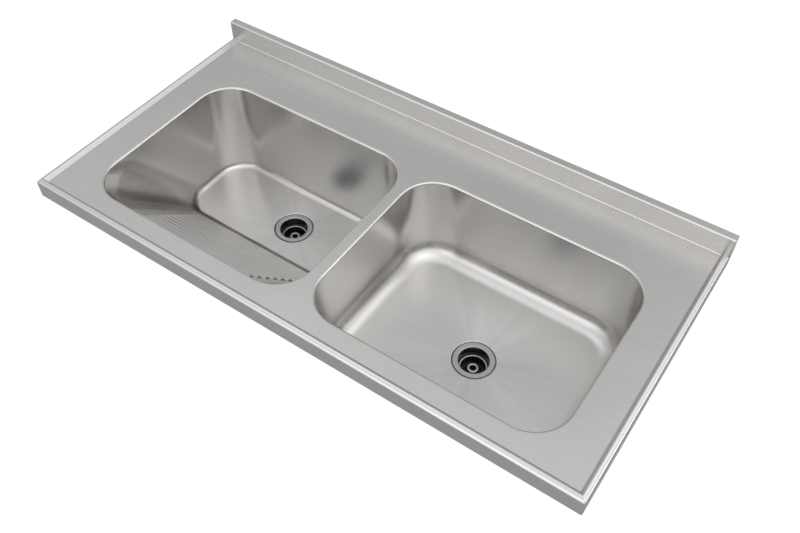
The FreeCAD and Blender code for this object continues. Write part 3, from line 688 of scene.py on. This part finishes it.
# %% The tub
def foot_outlines(sharp, floor, slope):
    """Outlines of the foot bend: a quarter turn at the walls, and a smaller one under the slope."""
    front = sharp.front + TUB_FOOT * math.tan(slope / 2)
    outlines = []
    for step in range(TUB_FOOT_STEPS + 1):
        wall_turn = 0.5 * math.pi * step / TUB_FOOT_STEPS
        slope_turn = slope * (1 - step / TUB_FOOT_STEPS)
        outline = sharp.inset(TUB_FOOT * (1 - math.cos(wall_turn)))
        outline.front = front - TUB_FOOT * math.sin(slope_turn)
        height = floor + TUB_FOOT * (1 - math.sin(wall_turn))
        outlines.append((outline, height, floor + TUB_FOOT * (1 - math.cos(slope_turn))))
    outlines.append((outlines[-1][0].inset(HOLD), floor, floor))
    return outlines


def ridge_rows():
    """Distance down the slope and rise of each row that follows the ridges."""
    sunk = RIDGE_RADIUS - RIDGE_HEIGHT
    reach = math.acos(sunk / RIDGE_RADIUS)
    rows = []
    for ridge in range(RIDGE_COUNT):
        for step in range(-RIDGE_STEPS // 2, RIDGE_STEPS // 2 + 1):
            angle = 2 * reach * step / RIDGE_STEPS
            down = RIDGE_FIRST + ridge * RIDGE_PITCH + RIDGE_RADIUS * math.sin(angle)
            rows.append((down, RIDGE_RADIUS * math.cos(angle) - sunk))
    return rows


def washboard_levels(head, foot):
    """Levels of the walls between the washboard's head and foot, with the ridges pushed out."""
    outline, height, front_height = head
    run = foot[0].front - outline.front
    drop = front_height - foot[2]
    length = math.hypot(run, drop)
    normal = Vector((0, drop, run)) / length
    levels = []
    for down, rise in ridge_rows():
        share = down / length
        row = outline.mixed(foot[0], share)
        level = row.level(height + (foot[1] - height) * share, front_height - drop * share)
        for place in level[CORNER_STEPS + 1 : CORNER_STEPS + 1 + LONG_CUTS]:
            to_end = min(place.x - row.left, row.right - place.x) - row.front_radius
            fall = max(0.0, 1 - to_end / RIDGE_END)
            place += normal * rise * math.sqrt(1 - fall ** 2)
        levels.append(level)
    return levels


def tub_levels():
    opening, deck, floor = opening_of("laundry_tub")
    floor += TUB_FALL
    band = opening.inset(BAND_DRAFT)
    band.front_radius = WASHBOARD_CORNER
    head = (band, deck - BAND_HEIGHT, deck - BAND_HEIGHT)
    sharp = opening.inset(TUB_DRAFT)
    sharp.front = band.front + WASHBOARD_RUN
    sharp.front_radius, sharp.back_radius = TUB_FLOOR_CORNER, TUB_BACK_CORNER
    foot = foot_outlines(sharp, floor, math.atan2(head[1] - floor, WASHBOARD_RUN))
    levels = lip_levels(opening, deck) + [head[0].level(*head[1:])]
    levels += washboard_levels(head, foot[0])
    return levels + [outline.level(*heights) for outline, *heights in foot]


make_basin("tub", "laundry_tub", tub_levels())

# %% [markdown]
# ## The top
# The top is one folded sheet. Its edge rises to a drip rim on three sides, rolls over and hangs down as
# an apron with a hem. The crest falls a little outwards. The back turns up into a hollow upstand. The rim
# is a wire along the left, front and right edges, extruded through the levels of the folded line. It ends
# at the upstand's foot, but the apron below it runs on to the back. The upstand is a second wire, extruded
# along its own line. The basins could be cut out of the deck by booleans, but a fill between the rim and
# the edges of the basins' flanges leaves cleaner edges.

# %% Sizes of the top
CREST_RISE = 7 * MM
CREST_FALL = 2 * MM
CREST_BEND = 2.5 * MM
RIM_START = -6 * MM
RIM_SLOPE = 6 * MM
RIM_SLOPE_BEND = 1.5 * MM
RIM_CREST = 10 * MM
RIM_BEND = 8 * MM
RIM_STEPS = 8
INSIDE_CORNER = 0.6 * MM
OUTSIDE_CORNER = 3 * MM
UPSTAND = 18 * MM
UPSTAND_BEND = 3 * MM
FOOT_BEND = 2 * MM
HEM = 12 * MM
HEM_BEND = 2 * MM
NEARLY_NOTHING = 0.01 * MM

top_low, top_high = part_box("worktop_sheet")
deck_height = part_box("sink_bowl")[1].z
crest_height = deck_height + CREST_RISE
deck_right = top_high.x - RIM_SLOPE - RIM_CREST
deck_front = top_low.y + RIM_SLOPE + RIM_CREST
riser = top_high.y - UPSTAND
deck_back = riser - FOOT_BEND - HOLD
rim_turn = math.pi / 2 - math.atan(CREST_FALL / RIM_CREST)
apron_height = crest_height - CREST_FALL - RIM_BEND * math.tan(rim_turn / 2)
print("deck", round(2 * deck_right, 3), "by", round(deck_back - deck_front, 3))


# %% The top
def rim_level(out, height, back):
    """Points of the rim at a distance out from the deck's edge, from the left's back to the right's."""
    half, front = deck_right + out, deck_front - out
    spread = (out - RIM_START) / (RIM_SLOPE + RIM_CREST - RIM_START)
    radius = INSIDE_CORNER + (OUTSIDE_CORNER - INSIDE_CORNER) * spread
    arc = arc_points(half - radius, front + radius, radius, 1.5 * math.pi)
    right = [Vector((half - radius - HOLD, front))] + arc
    right += [Vector((half, y)) for y in (front + radius + HOLD, deck_back, back)]
    left = [Vector((-p.x, p.y)) for p in reversed(right)]
    return [p.to_3d() + Vector((0, 0, height)) for p in left + right]


def rim_levels():
    edge = RIM_SLOPE + RIM_CREST
    line = bent_line(
        [
            (RIM_START, deck_height),
            (0, deck_height, RIM_SLOPE_BEND),
            (RIM_SLOPE, crest_height, CREST_BEND),
            (edge, crest_height - CREST_FALL, RIM_BEND),
            (edge, 0, HEM_BEND),
            (edge - HEM, 0),
        ],
        RIM_STEPS,
    )
    levels = []
    for out, height in line:
        over_apron = height > apron_height + NEARLY_NOTHING
        levels.append(rim_level(out, height, riser if over_apron else top_high.y - edge + out))
    return levels


def upstand_levels():
    line = bent_line(
        [
            (deck_front, deck_height),
            (riser, deck_height, FOOT_BEND),
            (riser, top_high.z, UPSTAND_BEND),
            (top_high.y, top_high.z, UPSTAND_BEND),
            (top_high.y, 0, HEM_BEND),
            (top_high.y - HEM, 0),
        ],
        RIM_STEPS,
    )
    levels = []
    for back, height in line[1:]:
        mitre = top_high.y - back if height < HEM_BEND else 0.0
        inner, outer = deck_right + RIM_START, top_high.x - mitre
        levels.append([Vector((x, back, height)) for x in (-outer, -inner, inner, outer)])
    return levels


def fill_deck(shape):
    """Flat sheet inside the rim, left open where the basins' flanges lie."""
    edge = rim_level(RIM_START, deck_height, deck_back)[1:-1]
    edges = draw_wire(shape, edge, closed=True)[1]
    for node in BASINS.values():
        flange = opening_of(node)[0].inset(-WELD_FLANGE)
        edges += draw_wire(shape, flange.level(deck_height, deck_height), closed=True)[1]
    bmesh.ops.triangle_fill(shape, edges=edges, use_beauty=True, normal=(0, 0, 1))


def make_top():
    shape = bmesh.new()
    fill_deck(shape)
    skin(shape, rim_levels(), closed=False)
    skin(shape, upstand_levels(), closed=False)
    bmesh.ops.remove_doubles(shape, verts=shape.verts, dist=0.002 * MM)
    shape.faces.ensure_lookup_table()
    face_up(shape, shape.faces[0])
    new_piece("worktop_sheet", shape, [top_steel], "sink", thickness=SHEET)


make_top()

# %% [markdown]
# ## End caps
# The hollow upstand is closed at each end by a small plate that is set in flush and polished over. The
# upstand's sheet could be drawn shut instead, but the plates are pieces of their own, so each one is a cut
# face that is extruded by the thickness of the sheet.

# %% End caps
CAP_BEND = 2 * MM
CAP_STEPS = 5


def end_cap(node, outside, inwards):
    shape = bmesh.new()
    front, back = riser + SHEET, top_high.y - SHEET
    foot, head = apron_height, top_high.z - SHEET
    corners = [(front, foot), (front, head, CAP_BEND), (back, head, CAP_BEND), (back, foot)]
    line = bent_line(corners, CAP_STEPS)
    face = shape.faces.new([shape.verts.new((outside, p.x, p.y)) for p in line])
    made = bmesh.ops.extrude_face_region(shape, geom=[face])["geom"]
    moved = [item for item in made if isinstance(item, bmesh.types.BMVert)]
    bmesh.ops.translate(shape, verts=moved, vec=(inwards * SHEET, 0, 0))
    bmesh.ops.recalc_face_normals(shape, faces=shape.faces)
    new_piece(node, shape, [top_steel], "sink")


end_cap("upstand_end_cap_left", top_low.x, 1)
end_cap("upstand_end_cap_right", top_high.x, -1)

# %% [markdown]
# ## Drains
# Each drain is a stack of round pieces about one axis, measured up from the seat in the dish. A black
# cup hangs in the hole, clamped by a nut with lugs from below, with a gasket on either side of the sheet.
# A steel ring covers the cup's flange. The lift-out basket sits on a ledge in the cup, and a hollow post
# with a rubber seal slides in the basket's collar. The post's rounded head is capped with steel. Plain
# cylinders could stand for these pieces, but their edges would be too sharp, so each is a line that is
# spun about the axis. Each corner is a radius and a height in millimetres, with a bend where it is round.

# %% Round pieces of the drains
LINES = {
    "drain_flange_ring": [
        (30.3, 1.2), (30.3, 4.3, 3), (41.2, 4.3, 0.9), (41.2, 0, 0.2), (40.2, 0, 0.2), (40.2, 3.5, 0.3),
        (31.1, 3.5, 2.2), (31.1, 0.5, 0.2), (30.3, 0.5, 0.2), (30.3, 1.2),
    ],
    "drain_top_gasket": [
        (35.5, 0.7), (35.5, 1.5, 0.3), (39.5, 1.5, 0.3), (39.5, 0, 0.3), (35.5, 0, 0.3), (35.5, 0.7),
    ],
    "drain_cup": [
        (30.5, -8.2), (31.5, 3.5, 0.5), (40, 3.5, 0.3), (40, 1.5, 0.3), (34, 1.5, 0.3), (34, -23, 1),
        (29, -26, 1), (29, -47, 2), (23.9, -57.4, 1), (23.9, -95.4, 0.6), (19.5, -95.4, 0.6),
        (19.5, -57.4, 1), (26, -47, 2), (26, -20, 0.5), (29.5, -20, 0.8), (30.5, -8.2),
    ],
    "drain_under_gasket": [
        (34.5, -2), (34.5, -1, 0.4), (39.5, -1, 0.4), (39.5, -3.5, 0.4), (34.5, -3.5, 0.4), (34.5, -2),
    ],
    "stopper_stem": [
        (0, -38), (6, -38, 1), (6, -22, 2.2), (12.4, -22, 3), (12.4, -27, 1), (10, -28, 0.6),
        (10, -50, 0.6), (16, -50, 0.5), (16, -52, 0.5), (8, -52, 0.2), (8, -56, 0.2), (12, -56, 0.5),
        (12, -58, 0.6), (0, -58),
    ],
    "stopper_seal": [
        (8.05, -54), (8.05, -52, 0.2), (22.5, -52, 0.6), (20, -56, 0.6), (8.05, -56, 0.2), (8.05, -54),
    ],
}
DRAIN_STEPS = 5
KNOB_FOOT = -25.5 * MM
KNOB_FACING = 0.1


def round_piece(basin, piece, body):
    seat = drain_seats[basin]
    shape = turned(bent_line(in_mm(LINES[piece]), DRAIN_STEPS, SMALL_HOLD), seat)
    node = f"{basin}_{piece}"
    for face in shape.faces:
        height = face.calc_center_median().z - seat.z
        on_knob = height > KNOB_FOOT and face.normal.z > KNOB_FACING
        face.material_index = int(piece == "stopper_stem" and on_knob)
    new_piece(node, shape, [finishes[slots[node]], finishes["drain_steel"]], body)


drain_seats = {}
for basin, node in BASINS.items():
    seat_height = opening_of(node)[2] - DISH_DEPTH
    drain_seats[basin] = Vector((drains[basin].x, drains[basin].y, seat_height))
    for piece in ("drain_flange_ring", "drain_top_gasket", "drain_cup", "drain_under_gasket"):
        round_piece(basin, piece, "sink")
    for piece in ("stopper_stem", "stopper_seal"):
        round_piece(basin, piece, f"{basin}_stopper")

# %% [markdown]
# ## Lock nuts and baskets
# The nut is a turned ring whose lugs are pulled out of its wall, for the fingers to grip. The basket is
# pressed from thin sheet, so it is a single turned skin with thickness. Its slots and holes could be cut by
# booleans, but the mesh stays cleaner where faces are deleted and the edges of the holes are drawn to
# circles. Below its bright rim the basket is coated black.

# %% Lock nuts
NUT_LINE = [
    (34.1, -10), (34.1, -3.5, 0.8), (43, -3.5, 0.8), (43, -17.5, 0.8), (34.1, -17.5, 0.8), (34.1, -10),
]
NUT_STEPS = 4
NUT_RADIUS = 43 * MM
NUT_SKIN = 0.2 * MM
NUT_LUG = 5 * MM
NUT_LUGS = 8
NUT_LUG_SHARE = 0.28


def turn_in_spokes(point, count):
    """A point's angle about the axis, counted in spokes."""
    return math.atan2(point.y, point.x) / math.tau * count


def share_of_turn(point, count):
    """How far a point lies from the nearest of a number of spokes, as a share of the way to the next."""
    turn = turn_in_spokes(point, count)
    return abs(turn - round(turn))


def lock_nut(basin):
    shape = turned(bent_line(in_mm(NUT_LINE), NUT_STEPS, SMALL_HOLD), Vector())
    wall = [f for f in shape.faces if f.calc_center_median().xy.length > NUT_RADIUS - NUT_SKIN]
    lugs = [f for f in wall if share_of_turn(f.calc_center_median(), NUT_LUGS) < NUT_LUG_SHARE / 2]
    made = bmesh.ops.extrude_face_region(shape, geom=lugs)["geom"]
    for item in made:
        if isinstance(item, bmesh.types.BMVert):
            item.co.xy *= 1 + NUT_LUG / NUT_RADIUS
    bmesh.ops.delete(shape, geom=lugs, context="FACES_ONLY")
    bmesh.ops.recalc_face_normals(shape, faces=shape.faces)
    bmesh.ops.translate(shape, verts=shape.verts, vec=drain_seats[basin])
    node = f"{basin}_drain_lock_nut"
    new_piece(node, shape, [finishes[slots[node]]], "sink")


for basin in drain_seats:
    print(basin, "nut with", NUT_LUGS, "lugs at", [round(v, 3) for v in drain_seats[basin]])

# %% Baskets
BASKET_LINE = [
    (29, -19.6), (29, -18.2, 0.9), (24.6, -18.2, 2.4), (23.8, -27), (23.8, -38), (23.8, -39.8, 1.4),
    (20.2, -39.8), (18, -39.8), (15.8, -39.8), (11.25, -39.8, 1), (11.25, -33),
]
BASKET_SHEET = 1.2 * MM
BASKET_RIM_FOOT = -19 * MM
BASKET_HOLES = 12
SLOT_FOOT = -38 * MM
SLOT_HEAD = -27 * MM
SLOT_SHARE = 0.25
HOLE_CIRCLE = 18 * MM
HOLE_RADIUS = 2.2 * MM
HOLE_SHARE = 0.5


def in_slot_or_hole(face):
    middle = face.calc_center_median()
    share = 2 * share_of_turn(middle, BASKET_HOLES)
    if middle.z < SLOT_FOOT:
        return share < HOLE_SHARE and abs(middle.xy.length - HOLE_CIRCLE) < HOLE_RADIUS
    return share < SLOT_SHARE and middle.z < SLOT_HEAD


def round_hole_edges(shape):
    """Draws the corners of each hole in the floor to a circle."""
    for point in shape.verts:
        if point.is_boundary and point.co.z < SLOT_FOOT - MM:
            turn = round(turn_in_spokes(point.co, BASKET_HOLES)) / BASKET_HOLES * math.tau
            hole = Vector((math.cos(turn), math.sin(turn))) * HOLE_CIRCLE
            point.co.xy = hole + (point.co.xy - hole).normalized() * HOLE_RADIUS


def basket(basin):
    line = bent_line(in_mm(BASKET_LINE), DRAIN_STEPS, SMALL_HOLD)
    shape = turned(line, Vector(), first_angle=-math.tau / TURNS)
    cut = [face for face in shape.faces if in_slot_or_hole(face)]
    bmesh.ops.delete(shape, geom=cut, context="FACES")
    round_hole_edges(shape)
    floor = min(shape.faces, key=lambda f: f.calc_center_median().z)
    face_up(shape, floor)
    for face in shape.faces:
        face.material_index = int(face.calc_center_median().z < BASKET_RIM_FOOT)
    bmesh.ops.translate(shape, verts=shape.verts, vec=drain_seats[basin])
    node = f"{basin}_strainer_basket"
    coats = [finishes[slots[node]], finishes["black_plastic"]]
    new_piece(node, shape, coats, f"{basin}_basket", thickness=BASKET_SHEET)


for basin in drain_seats:
    lock_nut(basin)
    basket(basin)

# %% [markdown]
# ## Rails and pads
# The stiffening rails and the damping pads are plain folded and cut pieces that nobody sees from above.
# They could be modelled again, but their solids are already right, so they only get their finishes.

# %% Rails and pads
for node, item in frame["nodes"].items():
    item.data.materials.clear()
    item.data.materials.append(finishes.get(slots[node], top_steel))
print("finishes on", sum(not item.hide_render for item in frame["nodes"].values()), "plain nodes")

# %% [markdown]
# ## Floor and light
# The sink hangs over a white floor. Camera rays see it white, and it still takes a faint shadow. The
# steel itself is lit by what it mirrors: a grey studio sky that is paler towards the horizon and darker
# overhead, and six soft lamps. A broad one stands in front, others at the right, the back right and high at
# the left, a low bright one at the right and a weak low one at the left. They draw the white lines along
# the bends. Area lamps could do that, but the steel would mirror their edges, so these are soft spots in
# the sky itself.

# %% Floor and light
FLOOR_HEIGHT = -0.75
FLOOR_RADIUS = 14.0
FLOOR_COLOUR = (0.8, 0.8, 0.8, 1.0)
FLOOR_ROUGHNESS = 0.9
FLOOR_GLOW = 0.43
FLOOR_SEEN = 1.03
FLOOR_GLOW_SHARE = 0.96
WHITE = (1.0, 1.0, 1.0, 1.0)
SKY = ((0.0, 0.53), (0.5, 0.48), (0.8, 0.24), (1.0, 0.33))
SKY_TINT = (0.99, 1.0, 1.008, 1.0)
# Each lamp: the side it stands on in degrees from the back towards the right, its height in degrees, how
# tightly it shines, and its glow
LAMPS = (
    (-171, 21, 5, 1.5),
    (103, 56, 7.3, 1.6),
    (32, 49, 16, 1.1),
    (-80, 65, 11.7, 1.1),
    (61, 0, 24.5, 3.2),
    (-62, 8, 30, 0.3),
)


def make_floor():
    shape = bmesh.new()
    bmesh.ops.create_circle(shape, cap_ends=True, radius=FLOOR_RADIUS, segments=64)
    bmesh.ops.translate(shape, verts=shape.verts, vec=(0, 0, FLOOR_HEIGHT))
    mesh = bpy.data.meshes.new("floor")
    shape.to_mesh(mesh)
    shape.free()
    floor = bpy.data.objects.new("floor", mesh)
    bpy.context.scene.collection.objects.link(floor)
    finish, shader, surface = new_finish("white_floor")
    surface.inputs["Base Color"].default_value = FLOOR_COLOUR
    surface.inputs["Roughness"].default_value = FLOOR_ROUGHNESS
    path = shader.add("ShaderNodeLightPath").outputs
    mirrored = shader.math("MAXIMUM", path["Is Glossy Ray"], path["Is Transmission Ray"])
    seen = shader.math("MULTIPLY", path["Is Camera Ray"], FLOOR_SEEN)
    strength = shader.math("ADD", seen, shader.math("MULTIPLY", mirrored, FLOOR_GLOW))
    glow = shader.add("ShaderNodeEmission", {"Color": WHITE, "Strength": strength})
    seen_or_mirrored = shader.math("MAXIMUM", path["Is Camera Ray"], mirrored)
    share = shader.math("MULTIPLY", seen_or_mirrored, FLOOR_GLOW_SHARE)
    mix = shader.add("ShaderNodeMixShader", {0: share, 1: surface.outputs[0], 2: glow.outputs[0]})
    output = finish.node_tree.nodes["Material Output"]
    shader.feed(output.inputs["Surface"], mix.outputs[0])
    mesh.materials.append(finish)


def lamp_light(shader, direction, side, height, tightness, glow):
    """Light of a soft round lamp in the sky."""
    turn, rise = math.radians(side), math.radians(height)
    aim = (math.sin(turn) * math.cos(rise), math.cos(turn) * math.cos(rise), math.sin(rise))
    towards = shader.measure("DOT_PRODUCT", direction, aim)
    fall = shader.math("MULTIPLY", shader.math("SUBTRACT", towards, 1.0), tightness)
    return shader.math("MULTIPLY", shader.math("EXPONENT", fall), glow)


def make_sky():
    world = bpy.data.worlds.new("studio_sky")
    bpy.context.scene.world = world
    world.use_nodes = True
    shader = Shader(world.node_tree)
    direction = shader.add("ShaderNodeTexCoord").outputs["Generated"]
    ramp = shader.add("ShaderNodeValToRGB", {"Fac": shader.split(direction)["Z"]})
    stops = ramp.color_ramp.elements
    for place, grey in SKY[1:-1]:
        stops.new(place)
    for stop, (place, grey) in zip(stops, SKY):
        stop.color = (grey, grey, grey, 1.0)
    light = shader.split(ramp.outputs["Color"])["X"]
    for lamp in LAMPS:
        light = shader.math("ADD", light, lamp_light(shader, direction, *lamp))
    path = shader.add("ShaderNodeLightPath").outputs
    light = shader.step(path["Is Camera Ray"], 0.0, 1.0, light, 1.0, smooth=False)
    background = world.node_tree.nodes["Background"]
    shader.feed(background.inputs["Strength"], light)
    background.inputs["Color"].default_value = SKY_TINT


make_floor()
make_sky()
print("floor at", FLOOR_HEIGHT, "with", len(LAMPS), "lamps in the sky")
